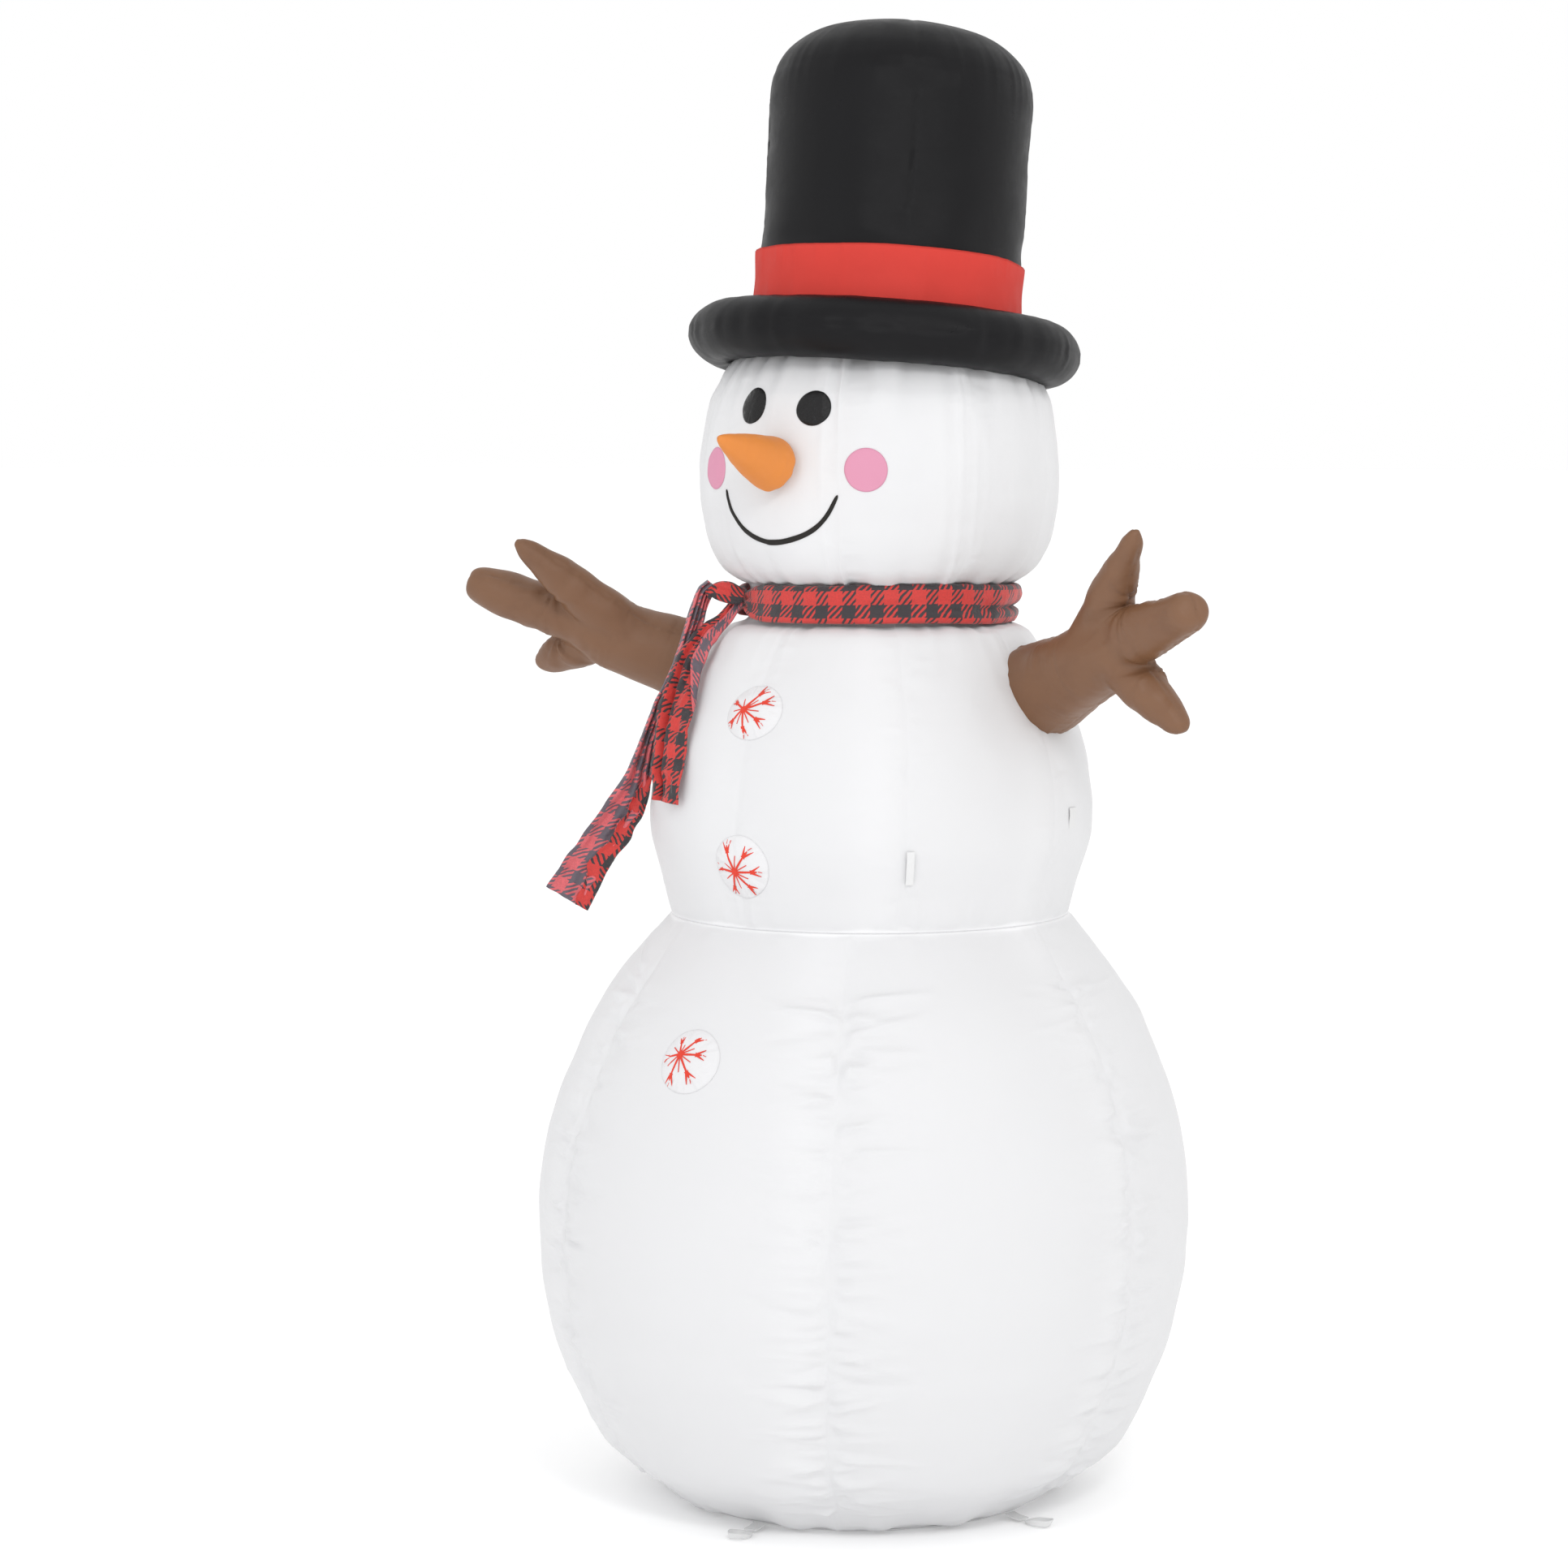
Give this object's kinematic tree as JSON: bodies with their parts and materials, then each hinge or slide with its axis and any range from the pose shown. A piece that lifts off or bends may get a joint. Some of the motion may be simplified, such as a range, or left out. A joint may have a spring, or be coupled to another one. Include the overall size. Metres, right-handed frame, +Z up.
{
  "type": "inflatable yard snowman",
  "caption": "Inflatable yard snowman with top hat, twig arms, carrot nose, buttons, checked scarf, built-in blower, internal lights, deflation zipper and stake loops.",
  "frame": {"origin": "centre of the flat underside of the base panel, on the ground", "axes": "+Z up, -Y the way the snowman's face and buttons look, +X the snowman's own left arm"},
  "size_m": [1.4523, 1.0683, 2.398],
  "materials": {
    "white_polyester": "matte",
    "black_satin": "satin",
    "red_satin": "satin",
    "brown_satin": "satin",
    "orange_satin": "satin",
    "pink_felt": "matte",
    "black_print": "matte",
    "check_fleece": "matte",
    "white_tape": "matte",
    "black_plastic": "matte",
    "grey_plastic": "matte",
    "steel": "satin",
    "led_lens": "gloss",
    "cord_jacket": "matte"
  },
  "bodies": {
    "snowman": {"blower_housing": "black_plastic", "blower_grille": "black_plastic", "clamp_ring": "black_plastic", "motor_spider": "black_plastic", "blower_motor": "steel", "lower_body_shell": "white_polyester", "base_panel": "white_polyester", "torso_shell": "white_polyester", "hat_brim": "black_satin", "hat_crown": "black_satin", "hat_band": "red_satin", "head_shell": "white_polyester", "nose_carrot": "orange_satin", "eye_left": "black_satin", "cheek_left": "pink_felt", "eye_right": "black_satin", "cheek_right": "pink_felt", "mouth": "black_print", "button_top": "white_polyester", "button_middle": "white_polyester", "button_bottom": "white_polyester", "scarf_wrap": "check_fleece", "scarf_knot": "check_fleece", "care_label": "white_tape", "guy_tab_1": "white_tape", "guy_tab_2": "white_tape", "guy_tab_3": "white_tape", "stake_tab_front": "white_tape", "stake_tab_left": "white_tape", "stake_tab_back": "white_tape", "stake_tab_right": "white_tape", "supply_socket": "black_plastic", "socket_collar": "black_plastic", "zipper_tape_upper": "white_tape", "zipper_tape_lower": "white_tape", "zipper_chain": "grey_plastic", "light_lead": "cord_jacket", "led_puck_1": "led_lens", "led_puck_2": "led_lens", "led_puck_3": "led_lens", "led_puck_4": "led_lens"},
    "arm_left": {"arm_left": "brown_satin"},
    "arm_right": {"arm_right": "brown_satin"},
    "scarf_tail_front": {"scarf_tail_front": "check_fleece"},
    "scarf_tail_side": {"scarf_tail_side": "check_fleece"},
    "impeller": {"impeller": "grey_plastic", "motor_shaft": "steel"},
    "zipper_slider": {"zipper_slider": "steel"},
    "zipper_pull": {"zipper_pull": "steel"},
    "stake_loop_front": {"stake_loop_front": "white_tape"},
    "stake_loop_left": {"stake_loop_left": "white_tape"},
    "stake_loop_back": {"stake_loop_back": "white_tape"},
    "stake_loop_right": {"stake_loop_right": "white_tape"}
  },
  "joints": [
    {"name": "arm_left_flex", "type": "hinge", "parent": "snowman", "child": "arm_left", "pos_m": [0.31293, 0.05327, 1.325], "axis": [-0.4509, -0.8926, 0], "range_deg": [-10, 10], "stiffness_Nm_per_rad": 14, "springref_deg": 1.43},
    {"name": "arm_right_flex", "type": "hinge", "parent": "snowman", "child": "arm_right", "pos_m": [-0.28342, 0.03245, 1.325], "axis": [-0.4756, 0.8796, 0], "range_deg": [-10, 10], "stiffness_Nm_per_rad": 14, "springref_deg": 1.43},
    {"name": "scarf_tail_front_swing", "type": "hinge", "parent": "snowman", "child": "scarf_tail_front", "pos_m": [-0.15573, -0.16744, 1.432], "axis": [-0.7193, 0.6947, 0], "range_deg": [0, 60]},
    {"name": "scarf_tail_side_swing", "type": "hinge", "parent": "snowman", "child": "scarf_tail_side", "pos_m": [-0.15573, -0.16744, 1.432], "axis": [-0.7193, 0.6947, 0], "range_deg": [0, 60]},
    {"name": "impeller_spin", "type": "hinge", "parent": "snowman", "child": "impeller", "pos_m": [0.00036, 0.48632, 0.215], "axis": [0, 0.9336, -0.3584], "continuous": true},
    {"name": "zipper_run", "type": "hinge", "parent": "snowman", "child": "zipper_slider", "pos_m": [0, 0, 0.438], "axis": [0, 0, 1], "range_deg": [0, 40]},
    {"name": "zipper_pull_swing", "type": "hinge", "parent": "zipper_slider", "child": "zipper_pull", "pos_m": [0.18725, 0.51446, 0.438], "axis": [0.9397, -0.342, 0], "range_deg": [0, 165]},
    {"name": "stake_loop_front_lift", "type": "hinge", "parent": "snowman", "child": "stake_loop_front", "pos_m": [0.03742, -0.35604, 0.0008], "axis": [-0.9945, -0.1045, 0], "range_deg": [0, 50]},
    {"name": "stake_loop_left_lift", "type": "hinge", "parent": "snowman", "child": "stake_loop_left", "pos_m": [0.35533, -0.04363, 0.0008], "axis": [-0.1219, -0.9925, 0], "range_deg": [0, 50]},
    {"name": "stake_loop_back_lift", "type": "hinge", "parent": "snowman", "child": "stake_loop_back", "pos_m": [0, 0.358, 0.0008], "axis": [1, 0, 0], "range_deg": [0, 50]},
    {"name": "stake_loop_right_lift", "type": "hinge", "parent": "snowman", "child": "stake_loop_right", "pos_m": [-0.358, 0, 0.0008], "axis": [0, 1, 0], "range_deg": [0, 50]}
  ]
}
